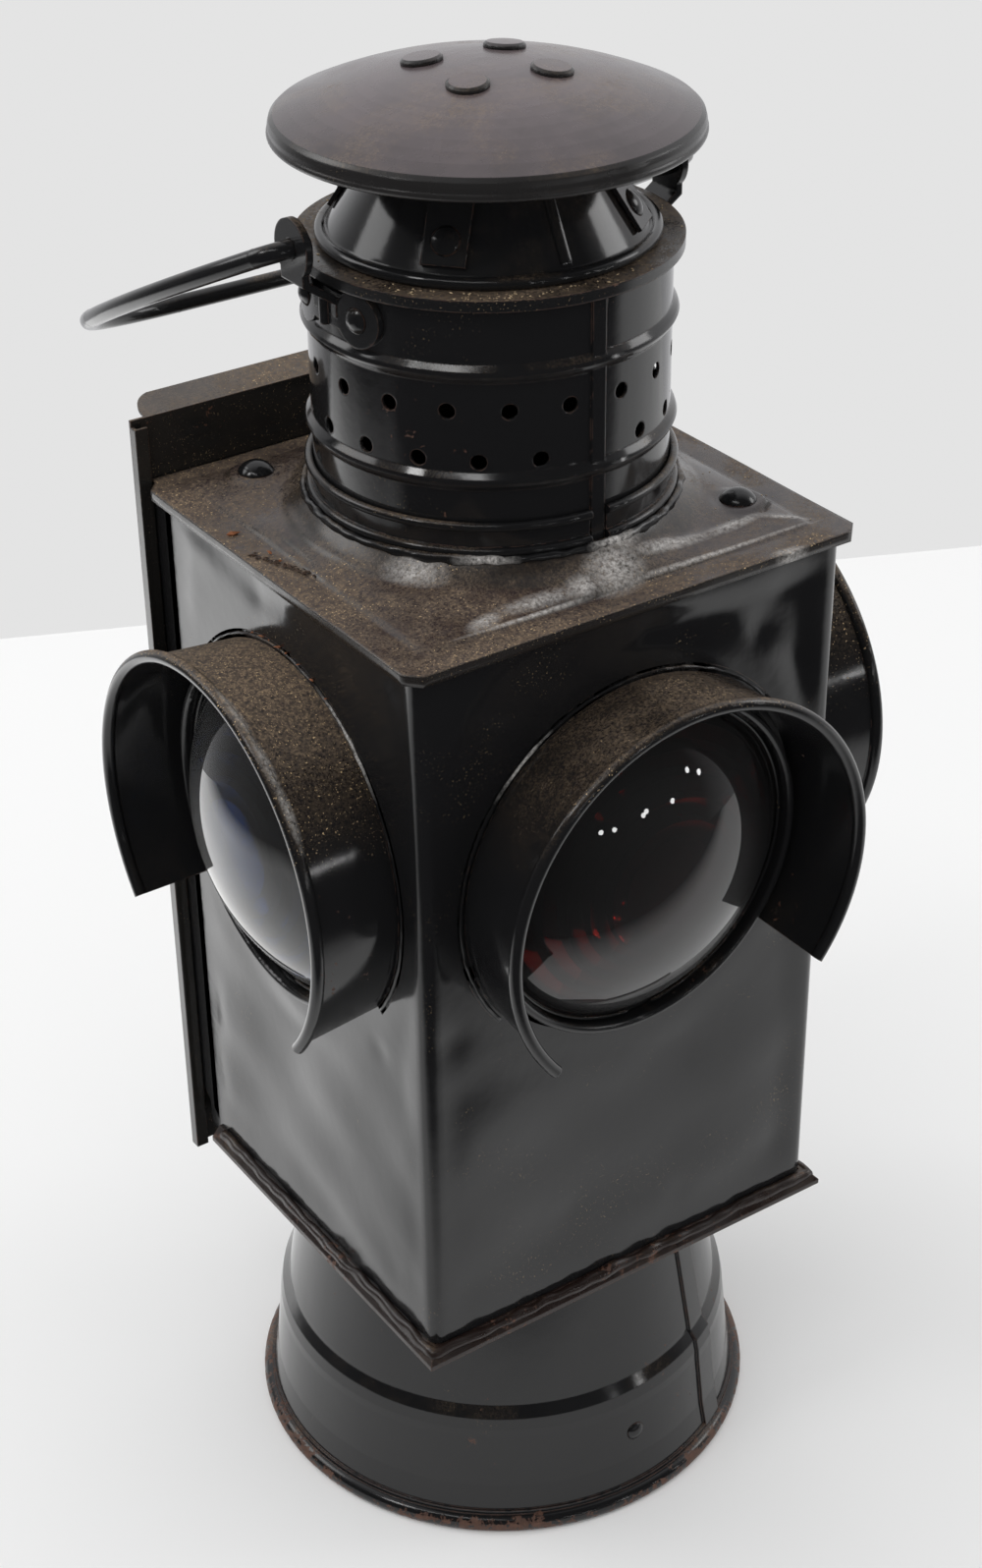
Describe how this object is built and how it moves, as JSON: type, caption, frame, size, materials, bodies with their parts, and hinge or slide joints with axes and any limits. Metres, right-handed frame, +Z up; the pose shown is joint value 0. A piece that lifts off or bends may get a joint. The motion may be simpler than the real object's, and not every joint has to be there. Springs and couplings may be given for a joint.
{
  "type": "railroad signal lantern",
  "caption": "Square black tin signal lamp with hooded round lenses on each face, a vented chimney with a domed cap, a wire bail, a flared base and a sliding door.",
  "frame": {"origin": "on the ground, at the centre of the base ring and on the chimney's axis", "axes": "+Z up along the chimney, -Y out of the front lens, +Y out of the sliding door, X along the bail's pivot"},
  "size_m": [0.1998, 0.2143, 0.4506],
  "materials": {
    "black_paint": "worn gloss black paint over tin plate",
    "dusty_paint": "black paint under brown dust and light rust",
    "rusty_paint": "rusted tin plate with solder lumps",
    "tinplate": "bare dull tin plate",
    "brass_fittings": "dull spun brass",
    "wick_cotton": "woven cotton",
    "red_glass": "dark red pressed glass",
    "blue_glass": "dark blue pressed glass"
  },
  "bodies": {
    "lamp": {"base_skirt": "black_paint", "base_rivet": "black_paint", "floor_tray": "rusty_paint", "fount_ring": "tinplate", "body_shell": "black_paint", "door_guides": "black_paint", "top_plate": "dusty_paint", "roof_rivets": "dusty_paint", "draught_baffle": "tinplate", "lens_front": "red_glass", "lens_left": "blue_glass", "lens_right": "blue_glass", "lens_ring_front": "black_paint", "lens_ring_left": "black_paint", "lens_ring_right": "black_paint", "lens_wire_front": "black_paint", "lens_wire_left": "black_paint", "lens_wire_right": "black_paint", "hood_front": "black_paint", "hood_left": "black_paint", "hood_right": "black_paint", "drum": "black_paint", "drum_foot": "black_paint", "drum_lid": "dusty_paint", "cowl": "black_paint", "cap": "dusty_paint", "cap_strap_front": "black_paint", "cap_strap_left": "black_paint", "cap_strap_right": "black_paint", "cap_strap_rear": "black_paint", "strap_rivets": "black_paint", "cap_rivets": "dusty_paint", "ear_left": "black_paint", "ear_right": "black_paint", "ear_rivets": "black_paint", "fount_tank": "tinplate", "fount_collar": "brass_fittings", "burner_body": "brass_fittings", "burner_dome": "brass_fittings", "wick_tube": "brass_fittings"},
    "door": {"door_panel": "black_paint", "lens_rear": "red_glass", "lens_ring_rear": "black_paint", "lens_wire_rear": "black_paint", "hood_rear": "black_paint"},
    "bail": {"bail": "black_paint"},
    "spindle": {"wick_spindle": "brass_fittings", "wick_knob": "brass_fittings"},
    "wick": {"wick": "wick_cotton"},
    "filler_cap": {"filler_cap": "brass_fittings"}
  },
  "joints": [
    {"name": "door_slide", "type": "slide", "parent": "lamp", "child": "door", "axis": [0, 0, 1], "range_m": [0, 0.205]},
    {"name": "bail_swing", "type": "hinge", "parent": "lamp", "child": "bail", "pos_m": [0, 0, 0.4123], "axis": [1, 0, 0], "range_deg": [0, 232]},
    {"name": "wick_turn", "type": "hinge", "parent": "lamp", "child": "spindle", "pos_m": [0.00575, 0, 0.1809], "axis": [0, 1, 0], "range_deg": [-50, 75]},
    {"name": "wick_feed", "type": "slide", "parent": "lamp", "child": "wick", "axis": [0, 0, 1], "range_m": [-0.004, 0.006]},
    {"name": "filler_cap_turn", "type": "hinge", "parent": "lamp", "child": "filler_cap", "pos_m": [-0.0205, 0.0205, 0.1729], "axis": [0, 0, 1], "continuous": true}
  ],
  "couplings": [
    {"joint": "wick_feed", "follows": "wick_turn", "m_per_rad": 0.0044}
  ]
}
